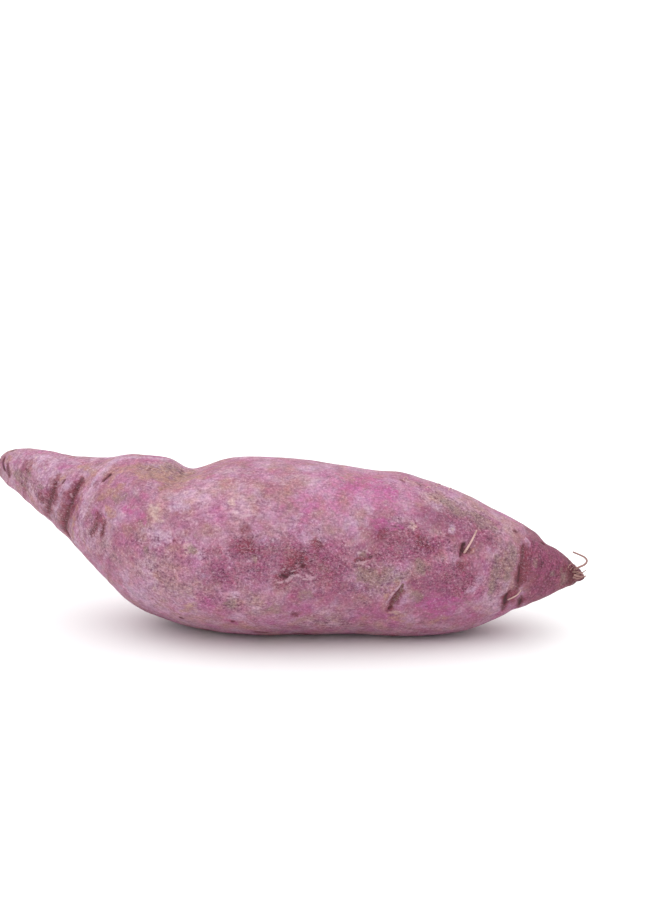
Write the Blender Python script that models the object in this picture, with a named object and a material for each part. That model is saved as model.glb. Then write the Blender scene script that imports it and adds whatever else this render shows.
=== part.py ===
"""A whole, raw purple sweet potato, lying on its belly with its stem end raised on the left.

The root grew in one piece, so it is one solid. The rings and meridians of a sphere are drawn
out along the root's bent axis. Each ring takes its place, height and width from PROFILE, and
lobes, creases, hollows, swellings and root scars are raised on it or sunk into it by formula.

+X runs from the stem end to the tail, -Y faces the viewer and +Z is up. The origin is on the
plane that the root rests on, under the middle of its box. Lengths are in metres. Places on the
skin are a share of the length from the stem end, and an angle round the axis in degrees:
0 faces the viewer, 90 is the top, 180 the back and -90 the belly.
"""

import math
import random
from bisect import bisect_right
from collections import namedtuple

import bmesh
import bpy
from mathutils import Vector, noise

# Driving sizes
MM = 0.001
LENGTH = 191.5 * MM  # from the stem end to the tail, straight across
THICKNESS = 58.0 * MM  # through the fullest part of the body

# The grid that is drawn out into the root: faces round it, and rings from end to end
FACES_ROUND = 56
RINGS = 104
RING_CROWDING = 0.45  # how much closer the rings stand at the two ends, from 0 to 1
CAP = 0.022  # share of the length over which each end rounds over to its point

# The root's axis and girth. along is a share of LENGTH, and the rest are shares of THICKNESS:
# how far the axis is set back from the viewer, its height, and the ring's half height and
# half width.
Station = namedtuple("Station", "along back up high wide")
PROFILE = [
    Station(0.000, 0.34, 0.848, 0.066, 0.066),
    Station(0.029, 0.33, 0.829, 0.115, 0.117),
    Station(0.061, 0.30, 0.793, 0.163, 0.168),
    Station(0.098, 0.25, 0.748, 0.205, 0.211),
    Station(0.139, 0.19, 0.678, 0.257, 0.265),
    Station(0.193, 0.13, 0.599, 0.348, 0.359),
    Station(0.238, 0.09, 0.543, 0.422, 0.437),
    Station(0.286, 0.05, 0.509, 0.454, 0.473),
    Station(0.347, 0.02, 0.481, 0.478, 0.500),
    Station(0.437, 0.00, 0.474, 0.498, 0.520),
    Station(0.521, 0.00, 0.471, 0.488, 0.514),
    Station(0.622, 0.00, 0.450, 0.459, 0.490),
    Station(0.715, -0.01, 0.428, 0.438, 0.462),
    Station(0.796, -0.02, 0.397, 0.378, 0.393),
    Station(0.852, -0.04, 0.390, 0.294, 0.304),
    Station(0.909, -0.06, 0.385, 0.203, 0.208),
    Station(0.943, -0.07, 0.368, 0.136, 0.140),
    Station(0.978, -0.08, 0.345, 0.060, 0.062),
    Station(1.000, -0.09, 0.324, 0.018, 0.018),
]

# Long, low lobes that run from end to end: how many round the root, their height, how far they
# turn about the axis on the way, and where they start, in degrees
Lobe = namedtuple("Lobe", "count height turn start")
LOBES = [
    Lobe(2, 0.35 * MM, 70, 200),
    Lobe(3, 0.45 * MM, -120, 40),
    Lobe(5, 0.28 * MM, 90, 15),
]

# Uneven growth all over: the height and the breadth of its bumps
LUMP_HEIGHT = 0.35 * MM
LUMP_BREADTH = 13 * MM

# Creases that run round the root, and ridges (a depth under 0). The first figures are the middle
# of each and half the arc that it covers. lean and curl say how far it bends towards the tail, as
# shares of LENGTH: lean for each 90 degrees upwards, and curl for the square of that. The last are
# its depth, and how far its two slopes reach.
Crease = namedtuple("Crease", "along round reach lean curl depth stem_slope tail_slope")
CREASES = [
    Crease(0.110, 0, 62, 0.019, 0.000, 0.90 * MM, 1.3 * MM, 1.6 * MM),
    Crease(0.136, 0, 75, 0.034, 0.023, 1.30 * MM, 1.6 * MM, 2.2 * MM),
    Crease(0.193, 70, 36, 0.070, 0.023, -0.60 * MM, 2.2 * MM, 3.0 * MM),
    Crease(0.337, 100, 44, 0.000, -0.167, 4.00 * MM, 4.2 * MM, 8.5 * MM),
    Crease(0.888, 0, 90, 0.017, 0.000, 0.75 * MM, 1.5 * MM, 1.8 * MM),
    Crease(0.933, 105, 60, 0.006, 0.000, 1.10 * MM, 1.7 * MM, 1.9 * MM),
]

# Broad hollows (a height under 0) and swellings (over 0), with how far each reaches along the
# root and round it
Swell = namedtuple("Swell", "along round length arc height")
SWELLS = [
    Swell(0.292, 78, 7.0 * MM, 16, -1.0 * MM),
    Swell(0.690, 102, 4.5 * MM, 22, 0.5 * MM),
]

# Scars where side roots broke off: the middle, the size along and across the scar, its slant
# up towards the tail in degrees, and its depth
Scar = namedtuple("Scar", "along round length width slant depth")
SCARS = [
    Scar(0.195, 58, 6.0 * MM, 2.4 * MM, 44, 0.7 * MM),
    Scar(0.505, 1, 12.0 * MM, 4.0 * MM, 28, 0.5 * MM),
    Scar(0.629, 15, 8.0 * MM, 3.0 * MM, 25, 0.4 * MM),
    Scar(0.682, -14, 11.0 * MM, 2.6 * MM, 56, 0.7 * MM),
    Scar(0.796, 28, 4.5 * MM, 3.0 * MM, 75, 0.9 * MM),
]

# More scars on the back and the belly: how many, the share of the length that they are spread
# over, and the rows, by angle, that the side roots grew in, with how far a scar strays from its
# row. Then the least and the greatest length and depth, the width as a share of the length, and
# the slant, which strays too.
UNSEEN_SCARS = 9
UNSEEN_FROM, UNSEEN_TO = 0.16, 0.90
UNSEEN_ROWS = [128, 172, 216, 258]
ROW_STRAY = 9
UNSEEN_LENGTHS = (4.5 * MM, 8.0 * MM)
UNSEEN_DEPTHS = (0.4 * MM, 0.8 * MM)
UNSEEN_NARROWNESS = 0.4
UNSEEN_SLANT = 80
SLANT_STRAY = 25
SEED = 11


def smooth(knots, values, at):
    """The value at a place on the smooth curve that passes through the values at the knots."""
    right = min(max(bisect_right(knots, at), 1), len(knots) - 1)
    left = right - 1
    span = knots[right] - knots[left]
    t = (at - knots[left]) / span

    def rise(i):
        before, after = max(i - 1, 0), min(i + 1, len(knots) - 1)
        return span * (values[after] - values[before]) / (knots[after] - knots[before])

    return (
        values[left] * (1 + 2 * t) * (1 - t) ** 2
        + rise(left) * t * (1 - t) ** 2
        + values[right] * t * t * (3 - 2 * t)
        + rise(right) * t * t * (t - 1)
    )


def read(field, share):
    """One of the profile's figures, in metres, at a share of the length."""
    knots = [station.along for station in PROFILE]
    values = [getattr(station, field) for station in PROFILE]
    return THICKNESS * smooth(knots, values, share)


def axis_point(share):
    return Vector(((share - 0.5) * LENGTH, read("back", share), read("up", share)))


def cap(share):
    """1 along the root, falling to 0 on a quarter round at each end."""
    depth = min(share, 1 - share, CAP) / CAP
    return math.sqrt(max(1 - (1 - depth) ** 2, 0))


def turn_between(a, b):
    """The signed turn from angle b to angle a, in degrees, the short way round."""
    return (a - b + 180) % 360 - 180


def bell(distance, reach):
    return math.exp(-((distance / reach) ** 2))


def unseen_scars():
    """One scar in each stretch of the root, in a row that changes from stretch to stretch."""
    chance = random.Random(SEED)
    stretch = (UNSEEN_TO - UNSEEN_FROM) / UNSEEN_SCARS
    scars = []
    for number in range(UNSEEN_SCARS):
        along = UNSEEN_FROM + stretch * (number + chance.uniform(0.2, 0.8))
        row = UNSEEN_ROWS[3 * number % len(UNSEEN_ROWS)]
        angle = row + chance.uniform(-ROW_STRAY, ROW_STRAY)
        length = chance.uniform(*UNSEEN_LENGTHS)
        depth = chance.uniform(*UNSEEN_DEPTHS)
        slant = UNSEEN_SLANT + chance.uniform(-SLANT_STRAY, SLANT_STRAY)
        scars.append(Scar(along, angle, length, UNSEEN_NARROWNESS * length, slant, depth))
    return scars


ALL_SCARS = SCARS + unseen_scars()


def crease_depth(crease, share, angle):
    turn = turn_between(angle, crease.round)
    bend = crease.lean * turn / 90 + crease.curl * (turn / 90) ** 2
    off = (share - crease.along - bend) * LENGTH
    slope = crease.stem_slope if off < 0 else crease.tail_slope
    return crease.depth * bell(turn, crease.reach) * bell(off, slope)


def scar_depth(scar, share, angle, radius):
    along = (share - scar.along) * LENGTH
    up = math.radians(turn_between(angle, scar.round)) * radius
    slant = math.radians(scar.slant)
    lengthwise = along * math.cos(slant) + up * math.sin(slant)
    crosswise = up * math.cos(slant) - along * math.sin(slant)
    return scar.depth * bell(lengthwise, scar.length / 2) * bell(crosswise, scar.width / 2)


def relief(share, angle):
    """How far the skin stands out from the plain ring here."""
    radius = read("high", share)
    fullness = radius / (THICKNESS / 2)
    out = 0
    for lobe in LOBES:
        phase = lobe.count * (angle - lobe.start - lobe.turn * share)
        out += lobe.height * fullness * math.cos(math.radians(phase))
    for swell in SWELLS:
        turn = turn_between(angle, swell.round)
        out += swell.height * bell((share - swell.along) * LENGTH, swell.length) * bell(turn, swell.arc)
    out -= sum(crease_depth(crease, share, angle) for crease in CREASES)
    out -= sum(scar_depth(scar, share, angle, radius) for scar in ALL_SCARS)
    return out


def skin_point(share, angle):
    """The point of the root's skin at a share of the length and an angle round the axis."""
    outward = Vector((0, -math.cos(math.radians(angle)), math.sin(math.radians(angle))))
    ring = outward * Vector((0, read("wide", share), read("high", share)))
    lump = LUMP_HEIGHT * noise.noise((axis_point(share) + ring) / LUMP_BREADTH)
    return axis_point(share) + cap(share) * (ring + outward * (relief(share, angle) + lump))


def draw_out_root():
    """The root's closed mesh, from a sphere whose poles become the two ends."""
    mesh = bmesh.new()
    bmesh.ops.create_uvsphere(mesh, u_segments=FACES_ROUND, v_segments=RINGS, radius=1)
    for vertex in mesh.verts:
        down = math.acos(max(-1, min(1, vertex.co.z))) / math.pi
        share = down - RING_CROWDING * math.sin(2 * math.pi * down) / (2 * math.pi)
        angle = math.degrees(math.atan2(vertex.co.y, vertex.co.x))
        vertex.co = skin_point(share, angle)
    return mesh


def rest_on_belly(mesh):
    """Presses the belly flat where it would dip under the ground, and centres the root on it."""
    for vertex in mesh.verts:
        vertex.co.z = max(vertex.co.z, 0)
    for axis in (0, 1):
        places = [vertex.co[axis] for vertex in mesh.verts]
        middle = (min(places) + max(places)) / 2
        for vertex in mesh.verts:
            vertex.co[axis] -= middle


def skin_material():
    material = bpy.data.materials.new("skin")
    material.use_nodes = True
    shader = material.node_tree.nodes["Principled BSDF"]
    shader.inputs["Base Color"].default_value = (0.42, 0.18, 0.27, 1)
    shader.inputs["Roughness"].default_value = 0.62
    shader.inputs["Metallic"].default_value = 0.0
    return material


def main():
    for old in list(bpy.data.objects):
        bpy.data.objects.remove(old)
    mesh = draw_out_root()
    rest_on_belly(mesh)
    bmesh.ops.recalc_face_normals(mesh, faces=mesh.faces)
    data = bpy.data.meshes.new("sweet_potato")
    mesh.to_mesh(data)
    mesh.free()
    data.shade_smooth()
    data.materials.append(skin_material())
    bpy.context.collection.objects.link(bpy.data.objects.new("sweet_potato", data))


main()
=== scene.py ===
import math
import random
from collections import namedtuple

import bmesh
import bpy
import numpy as np
from mathutils import Matrix, Vector, noise
from mathutils.bvhtree import BVHTree


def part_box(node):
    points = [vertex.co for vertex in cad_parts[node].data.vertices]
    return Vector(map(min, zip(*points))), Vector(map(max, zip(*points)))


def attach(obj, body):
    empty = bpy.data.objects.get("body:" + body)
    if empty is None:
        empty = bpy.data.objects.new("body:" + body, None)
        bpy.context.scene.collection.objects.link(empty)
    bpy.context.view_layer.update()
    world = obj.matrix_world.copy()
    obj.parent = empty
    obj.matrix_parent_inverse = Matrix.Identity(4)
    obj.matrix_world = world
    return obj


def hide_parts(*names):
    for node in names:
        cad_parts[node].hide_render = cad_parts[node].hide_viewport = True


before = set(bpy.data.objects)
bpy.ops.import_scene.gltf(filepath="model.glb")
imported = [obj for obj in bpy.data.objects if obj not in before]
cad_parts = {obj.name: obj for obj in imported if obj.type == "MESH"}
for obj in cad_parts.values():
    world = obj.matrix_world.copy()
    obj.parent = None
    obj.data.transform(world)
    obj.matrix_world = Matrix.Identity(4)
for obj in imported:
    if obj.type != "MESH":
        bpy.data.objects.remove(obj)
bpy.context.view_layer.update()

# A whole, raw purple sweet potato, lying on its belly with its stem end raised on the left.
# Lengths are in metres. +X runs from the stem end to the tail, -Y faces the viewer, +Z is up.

# The camera
# It stands where the picture was taken from, a little above the root and tilted down at it,
# with a long lens. Marks on the skin are placed by sighting through it.
PICTURE_WIDTH, PICTURE_HEIGHT = 660, 900
CAMERA_PLACE = Vector((0.0137, -0.6545, 0.2352))
CAMERA_TILT = math.radians(15)
LENS_MM, FILM_MM = 85, 36

camera = bpy.data.objects.new("camera", bpy.data.cameras.new("camera"))
camera.data.lens = LENS_MM
camera.data.sensor_width = FILM_MM
camera.location = CAMERA_PLACE
camera.rotation_euler = (math.pi / 2 - CAMERA_TILT, 0, 0)
bpy.context.scene.collection.objects.link(camera)
bpy.context.scene.camera = camera


def sight_line(pixel):
    """The direction from the camera through a pixel of the picture."""
    focal = LENS_MM / FILM_MM * PICTURE_HEIGHT
    across = (pixel[0] - PICTURE_WIDTH / 2) / focal
    up = (PICTURE_HEIGHT / 2 - pixel[1]) / focal
    return (Matrix.Rotation(-CAMERA_TILT, 3, "X") @ Vector((across, 1, up))).normalized()


# The root
# A storage root that swelled with starch in the ground: solid flesh under a thin, dry skin that
# grew as one with it. The skin creases where the root narrows, and is scarred where side roots
# broke off. Its shape is the solid's, made finer, with the small relief raised on it here.
MM = 0.001
MERGE = 0.001 * MM
QUAD_BEND = math.radians(40)
QUAD_SKEW = math.radians(60)
SUBDIVISIONS = 2

coarse = bmesh.new()
coarse.from_mesh(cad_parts["sweet_potato"].data)
bmesh.ops.remove_doubles(coarse, verts=coarse.verts, dist=MERGE)
bmesh.ops.join_triangles(
    coarse, faces=coarse.faces, angle_face_threshold=QUAD_BEND, angle_shape_threshold=QUAD_SKEW
)
surface = BVHTree.FromBMesh(coarse)

# The root's middle line, from upright slices through it
SLICES = 96
SLICE_REACH = 1.6 * MM
SMOOTHING = (1, 2, 3, 2, 1)
low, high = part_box("sweet_potato")
LENGTH = high.x - low.x
slice_x = np.linspace(low.x, high.x, SLICES)


def slice_middles(axis):
    """The middle of each slice's extent along one axis."""
    middles = []
    for x in slice_x:
        within = [v.co[axis] for v in coarse.verts if abs(v.co.x - x) < SLICE_REACH]
        middles.append((min(within) + max(within)) / 2)
    weights = np.array(SMOOTHING) / sum(SMOOTHING)
    padded = np.pad(middles, len(SMOOTHING) // 2, mode="edge")
    return np.convolve(padded, weights, mode="valid")


middle_y = slice_middles(1)
middle_z = slice_middles(2)


def middle_at(x):
    """The point of the middle line that far along the root."""
    return Vector((x, np.interp(x, slice_x, middle_y), np.interp(x, slice_x, middle_z)))


# Marks on the skin
# Each has a kind, which gives it its colour, how far its touch reaches on the skin, how deep it is
# sunk (under 0 for raised), and the line that it follows.
Mark = namedtuple("Mark", "kind reach depth line")
LINE_STEP = 1.2 * MM
FAR = 0.3  # well outside the root, from anywhere on its middle line
SIGHT_TURNS = 12


def laid_on_skin(points):
    """A line on the skin that follows these points, in steps of LINE_STEP at most."""
    line = [points[0]]
    for start, end in zip(points, points[1:]):
        steps = max(1, math.ceil((end - start).length / LINE_STEP))
        line += [start.lerp(end, step / steps) for step in range(1, steps + 1)]
    return [surface.find_nearest(point)[0] for point in line]


def skin_under(pixel):
    """The point of the skin that the camera sees at a pixel. Just outside the outline, it is the
    point that the line of sight passes nearest to."""
    way = sight_line(pixel)
    place, *rest = surface.ray_cast(CAMERA_PLACE, way)
    if place is None:
        place = CAMERA_PLACE - CAMERA_PLACE.y / way.y * way
        for turn in range(SIGHT_TURNS):
            passing = CAMERA_PLACE + (place - CAMERA_PLACE).dot(way) * way
            place, *rest = surface.find_nearest(passing)
    return place


def seen(kind, reach_mm, depth_mm, *pixels):
    """A mark that the camera sees along these pixels."""
    line = laid_on_skin([skin_under(pixel) for pixel in pixels])
    return Mark(kind, reach_mm * MM, depth_mm * MM, line)


def hidden(kind, reach_mm, depth_mm, share, angle, length_mm=0, slant=90):
    """A mark at a share of the length and an angle round the root: 0 faces the viewer, 90 is the
    top, 180 the back. slant is 0 along the root and 90 round it."""
    heart = middle_at(low.x + share * LENGTH)
    out = Vector((0, -math.cos(math.radians(angle)), math.sin(math.radians(angle))))
    place, normal, *rest = surface.ray_cast(heart + FAR * out, -out)
    lengthwise = Vector((1, 0, 0)) - normal.x * normal
    roundwise = normal.cross(lengthwise)
    way = math.cos(math.radians(slant)) * lengthwise + math.sin(math.radians(slant)) * roundwise
    half = way.normalized() * length_mm * MM / 2
    line = laid_on_skin([place - half, place + half])
    return Mark(kind, reach_mm * MM, depth_mm * MM, line)


# Wide, faint patches of colour, from the neck to the tail; some along the top are painted highlight
WIDE_PATCHES = [
    seen("lilac", 4.0, 0.0, (36, 468), (58, 480), (70, 486)),
    seen("greige", 6.0, 0.0, (88, 520), (104, 545), (118, 560)),
    # Pale skin with painted highlight on the upper left of the body
    seen("pale", 9.0, 0.0, (170, 500), (210, 494), (255, 500)),
    # Painted highlight along the top edge of the neck, in pale and lilac
    seen("pale", 4.0, 0.0, (40, 458), (60, 466), (90, 470)),
    seen("lilac", 3.0, 0.0, (26, 456), (50, 460), (80, 464)),
    seen("greige", 11.0, 0.0, (136, 540), (165, 572), (205, 590)),
    seen("greige", 7.0, 0.0, (195, 590), (235, 602), (270, 606)),
    seen("lilac", 6.0, 0.0, (128, 590), (160, 607)),
    seen("pink", 9.0, 0.0, (290, 500), (345, 492), (400, 500)),
    seen("dusky", 11.0, 0.0, (240, 560), (300, 560), (350, 570)),
    seen("dusky", 8.0, 0.0, (380, 560), (420, 545), (450, 565), (480, 590)),
    seen("greige", 7.0, 0.0, (345, 592), (375, 588)),
    seen("pink", 7.0, 0.0, (425, 600), (455, 598)),
    seen("rosy", 5.0, 0.0, (420, 604), (440, 610), (458, 600)),
    seen("rosy", 3.0, 0.0, (458, 602), (470, 600)),
    seen("greige", 7.0, 0.0, (300, 622), (360, 626)),
    seen("greige", 7.0, 0.0, (425, 496), (465, 510), (505, 530)),
    seen("olive", 3.0, 0.0, (440, 500), (468, 514), (496, 530)),
    seen("wine", 6.0, 0.0, (425, 516), (455, 524), (490, 542)),
    seen("wine", 11.0, 0.0, (530, 556), (548, 563), (566, 572)),
    seen("dusky", 6.0, 0.0, (392, 520), (404, 534), (420, 546)),
    seen("dusky", 6.0, 0.0, (446, 508), (478, 524), (504, 540)),
    seen("dusky", 4.0, 0.0, (500, 552), (496, 576), (490, 600)),
    seen("olive", 4.5, 0.0, (150, 476), (172, 474), (192, 478)),
    seen("wine", 9.0, 0.0, (418, 582), (445, 590), (472, 575)),
    seen("wine", 6.0, 0.0, (330, 576), (358, 592)),
    seen("dusky", 7.0, 0.0, (350, 572), (380, 578), (405, 572)),
    seen("wine", 8.0, 0.0, (362, 545), (400, 540), (436, 548)),
    seen("wine", 9.0, 0.0, (236, 556), (290, 566), (340, 560)),
    seen("dusky", 8.0, 0.0, (204, 556), (222, 566), (240, 580)),
    seen("wine", 6.0, 0.0, (206, 570), (226, 578)),
    seen("maroon", 2.0, 0.0, (310, 541), (322, 545)),
    seen("greige", 5.0, 0.0, (20, 474), (44, 500), (60, 525)),
]

# The dried rim of the broken stem, the weathered skin beside it, and painted highlight on the top of
# the neck
STEM_RIM_MARKS = [
    seen("dark", 0.5, 0.2, (5, 457), (3, 463), (5, 471)),
    seen("brown", 0.8, 0.0, (8, 464), (9, 472), (10, 476)),
    seen("olive", 1.8, 0.0, (10, 451), (16, 449)),
    seen("dark", 0.8, 0.0, (11, 450), (15, 449)),
    seen("tan", 1.4, 0.0, (9, 456), (8, 464)),
    seen("rosy", 1.6, 0.0, (15, 462), (20, 463)),
    seen("olive", 3.6, 0.0, (17, 471), (21, 479), (26, 486)),
    seen("olive", 1.6, 0.0, (27, 470), (31, 476)),
    seen("brown", 0.35, 0.1, (26, 469), (28, 471)),
    seen("brown", 0.35, 0.1, (21, 484), (24, 482)),
    # Painted highlight in lilac streaks on the top of the neck
    seen("lilac", 1.4, 0.0, (36, 457), (44, 465), (50, 474)),
    seen("olive", 1.4, 0.0, (38, 486), (43, 487)),
    seen("cream", 0.5, -0.1, (35, 460), (37, 457)),
    seen("cream", 0.6, 0.0, (44, 464), (46, 472)),
]

# The two creases of the neck, with the short slits at their upper ends
NECK_CREASES = [
    seen("rosy", 2.8, 0.0, (56, 470), (65, 466), (73, 466)),
    seen("maroon", 3.0, 0.1, (58, 478), (54, 490), (50, 503), (47, 517)),
    seen("brown", 0.8, 0.45, (56, 482), (53, 492), (50, 504), (48, 514)),
    seen("maroon", 2.6, 0.0, (41, 493), (43, 502)),
    seen("wine", 4.0, 0.0, (42, 496), (56, 500)),
    seen("maroon", 1.6, 0.1, (50, 489), (54, 487)),
    seen("tan", 1.6, 0.0, (60, 482), (66, 476)),
    seen("dark", 0.5, 0.25, (62, 484), (66, 479)),
    # Painted highlight on the raised ridge between the creases
    seen("lilac", 1.8, -0.3, (62, 492), (58, 504), (56, 516)),
    seen("maroon", 3.0, 0.1, (79, 482), (73, 496), (68, 512), (64, 528), (68, 540)),
    seen("brown", 0.8, 0.55, (82, 478), (77, 490), (72, 499), (68, 513), (66, 530), (68, 539)),
    seen("tan", 0.9, -0.25, (84, 490), (80, 502), (76, 512), (74, 526)),
    seen("tan", 1.0, 0.0, (75, 516), (73, 528), (74, 541)),
    seen("maroon", 1.4, 0.0, (69, 541), (77, 549)),
    seen("tan", 2.0, 0.0, (80, 466), (90, 470), (94, 476)),
]

# Streaks and patches on the shoulder behind the neck
SHOULDER_STREAKS = [
    # Painted highlight on a raised fold of the shoulder
    seen("lilac", 2.6, -0.3, (92, 488), (86, 502), (82, 520), (81, 540)),
    seen("rosy", 2.0, 0.0, (93, 511), (104, 516)),
    seen("maroon", 2.0, 0.0, (96, 513), (102, 518)),
    seen("maroon", 1.3, 0.2, (98, 518), (92, 537)),
    seen("maroon", 1.3, 0.2, (105, 520), (101, 539)),
    seen("brown", 0.4, 0.1, (97, 521), (93, 535)),
    seen("brown", 0.4, 0.1, (104, 523), (101, 537)),
    seen("tan", 2.2, 0.0, (107, 508), (114, 517)),
    seen("olive", 2.4, 0.0, (114, 500), (124, 494)),
    seen("rosy", 2.8, 0.0, (125, 510), (138, 513), (144, 524)),
    seen("thread", 0.35, -0.12, (126, 508.5), (132, 506)),
]

# The raised lip over the hollow on the shoulder, lightened with painted highlight, the painted
# shadow under it, and the eye under it
SHOULDER_LIP = [
    # Painted highlight along the raised lip, in lilac and pale
    seen("lilac", 1.5, -0.4, (93, 484), (100, 474), (108, 467), (115, 462), (121, 459)),
    seen("lilac", 1.3, -0.35, (121, 459), (137, 458), (157, 458.5), (172, 461)),
    seen("pale", 1.6, 0.0, (104, 472), (114, 462), (128, 458), (150, 458), (168, 460)),
    # Painted shadow under the lip, in tan, over a shallow groove
    seen("tan", 2.0, 0.2, (108, 484), (114, 474), (124, 468), (140, 466), (160, 468)),
    seen("dark", 0.6, 0.4, (102, 482), (106, 479), (111, 474)),
    seen("tan", 1.6, 0.0, (111, 480), (116, 475)),
    seen("olive", 3.6, 0.3, (146, 469), (168, 469), (190, 473)),
    seen("tan", 6.4, 0.0, (138, 474), (162, 473), (196, 477)),
    seen("greige", 6.0, 0.0, (146, 466), (168, 466), (190, 472)),
    seen("tan", 2.6, 0.0, (100, 500), (112, 490), (126, 484)),
    seen("tan", 2.4, 0.2, (160, 490), (170, 485), (181, 477), (192, 470)),
    seen("thread", 0.35, -0.1, (146, 469), (149, 465), (155, 464.5)),
    seen("brown", 0.35, 0.1, (147, 471), (151, 467)),
    seen("thread", 0.28, -0.1, (38, 486), (48, 485.5), (58, 486)),
    seen("thread", 0.4, -0.1, (70, 493), (72, 498)),
    seen("thread", 0.4, -0.1, (86, 497), (91, 490)),
]

# The left of the body
BODY_LEFT = [
    seen("cream", 2.4, 0.0, (151, 506), (158, 514), (164, 518)),
    seen("lilac", 2.6, 0.0, (176, 503), (190, 508)),
    seen("olive", 2.2, 0.0, (143, 548), (147, 552)),
    seen("lilac", 3.6, 0.0, (148, 534), (170, 540)),
    seen("greige", 5.0, 0.0, (160, 562), (184, 572)),
    seen("dark", 0.45, 0.1, (174, 541)),
    seen("dark", 0.45, 0.1, (189, 561.5)),
    seen("olive", 2.2, 0.0, (190, 549), (196, 553)),
    seen("cream", 2.8, 0.0, (184, 547), (195, 548)),
    seen("cream", 1.1, 0.0, (151, 586), (157, 590)),
    seen("tan", 2.6, 0.05, (180, 612), (193, 606)),
    seen("cream", 1.6, 0.0, (187, 608), (195, 603)),
    seen("dark", 0.7, 0.2, (181, 618)),
    seen("cream", 0.8, 0.0, (195, 606), (197, 612)),
]

# The pale and pink top of the body, with short pale wrinkles
BODY_TOP = [
    seen("rosy", 1.8, 0.0, (205, 478), (214, 474)),
    seen("cream", 2.6, 0.0, (228, 503), (236, 507)),
    seen("thread", 0.5, -0.15, (238, 515), (246, 516), (257, 514)),
    seen("thread", 0.5, -0.15, (296, 516), (303, 513), (318, 514)),
    seen("thread", 0.4, -0.15, (276, 485), (290, 484)),
    seen("maroon", 2.4, 0.0, (241, 530), (251, 528)),
    seen("rosy", 3.6, 0.0, (352, 488), (366, 482), (376, 490)),
    seen("rosy", 5.5, 0.0, (340, 486), (368, 482), (398, 494)),
    seen("rosy", 1.8, 0.0, (370, 479), (379, 480)),
    seen("cream", 1.3, 0.0, (385, 500), (387, 505)),
    seen("lilac", 1.8, 0.0, (364, 505), (374, 512)),
    seen("rosy", 3.2, 0.0, (378, 520), (390, 528)),
    seen("maroon", 2.2, 0.0, (378, 533), (386, 536)),
    seen("rosy", 2.6, 0.0, (388, 530), (400, 526)),
    seen("cream", 1.2, 0.0, (410, 522), (413, 530)),
    seen("maroon", 3.0, 0.0, (420, 540), (431, 550)),
]

# The dusky middle, with the two rough scars of side roots
DUSKY_MIDDLE = [
    seen("dusky", 5.0, 0.0, (232, 546), (258, 550), (280, 562), (304, 552)),
    seen("maroon", 2.2, 0.0, (240, 546), (252, 549)),
    seen("maroon", 2.4, 0.0, (290, 566), (304, 556)),
    seen("dusky", 2.6, 0.0, (326, 556), (345, 560)),
    seen("thread", 0.35, -0.1, (244, 550), (252, 548), (258, 551)),
    seen("thread", 0.35, -0.1, (262, 546), (268, 549), (276, 546)),
    seen("thread", 0.35, -0.1, (296, 549), (304, 553)),
    seen("thread", 0.35, -0.1, (280, 571), (286, 568)),
    seen("thread", 0.35, -0.1, (291, 572), (296, 570)),
    seen("thread", 0.4, -0.15, (303, 573), (311, 577), (318, 574)),
    seen("olive", 1.8, 0.0, (250, 556), (254, 562)),
    seen("dark", 0.45, 0.1, (259, 550.5)),
    seen("maroon", 2.4, 0.1, (277, 577), (289, 571), (300, 563), (304, 556)),
    seen("scar", 1.1, 0.2, (280, 576), (289, 575), (296, 569)),
    seen("scar", 0.5, 0.15, (291, 568), (296, 564), (303, 562)),
    seen("scar", 0.5, 0.15, (299, 560), (304, 557)),
    seen("scar", 0.8, 0.2, (300, 567), (305, 565)),
    seen("dark", 0.45, 0.1, (282, 575), (288, 577)),
    seen("dark", 0.45, 0.1, (292, 573), (295, 570)),
    seen("dark", 0.5, 0.1, (302.5, 566)),
    seen("thread", 0.55, -0.25, (277, 582.5), (287, 581), (297, 574), (304, 579), (317, 578)),
    seen("maroon", 1.6, 0.0, (355, 561), (364, 559)),
    seen("scar", 0.5, 0.2, (355.5, 561.5), (363, 560)),
    seen("scar", 0.5, 0.2, (368, 558), (373, 555.5)),
    seen("thread", 0.5, -0.2, (356, 557), (359, 552), (365, 550), (371, 553)),
    seen("thread", 0.45, -0.2, (355, 564), (362, 563), (369, 560)),
    seen("olive", 1.4, 0.0, (358, 554), (367, 550)),
    seen("olive", 4.5, 0.0, (360, 573), (382, 581), (404, 574)),
    seen("olive", 3.0, 0.0, (412, 590), (420, 600)),
]

# The lower middle
LOWER_MIDDLE = [
    seen("olive", 2.4, 0.0, (228, 603), (236, 604)),
    seen("lilac", 2.2, 0.0, (233, 593), (240, 597)),
    seen("rosy", 2.0, 0.0, (206, 598), (213, 606)),
    seen("dark", 0.6, 0.2, (232.5, 622)),
    seen("rosy", 2.0, 0.0, (223, 619), (236, 624)),
    seen("dark", 0.6, 0.2, (253, 632), (268, 632.5)),
    seen("olive", 2.8, 0.0, (268, 606), (278, 612)),
    seen("olive", 2.6, 0.0, (300, 590), (312, 596)),
    seen("maroon", 1.8, 0.0, (292, 612), (298, 616)),
]

# The slit with a lens of cork in it, and the peach patch under it
CORKED_SLIT = [
    seen("thread", 0.5, -0.25, (387, 603), (393, 593), (401, 584)),
    seen("tan", 1.6, 0.0, (386, 600), (392, 590), (398, 584)),
    seen("maroon", 1.6, 0.0, (388, 611), (396, 598), (403, 585)),
    seen("cork", 1.0, 0.3, (389, 609), (396, 598), (403, 585)),
    seen("brown", 0.4, 0.2, (388, 609), (394, 598), (401, 587)),
    seen("dark", 0.5, 0.1, (388.5, 610), (392, 606)),
    seen("tan", 2.8, 0.0, (390, 619), (400, 614)),
    seen("cream", 1.8, 0.0, (391, 615), (398, 611)),
]

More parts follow.
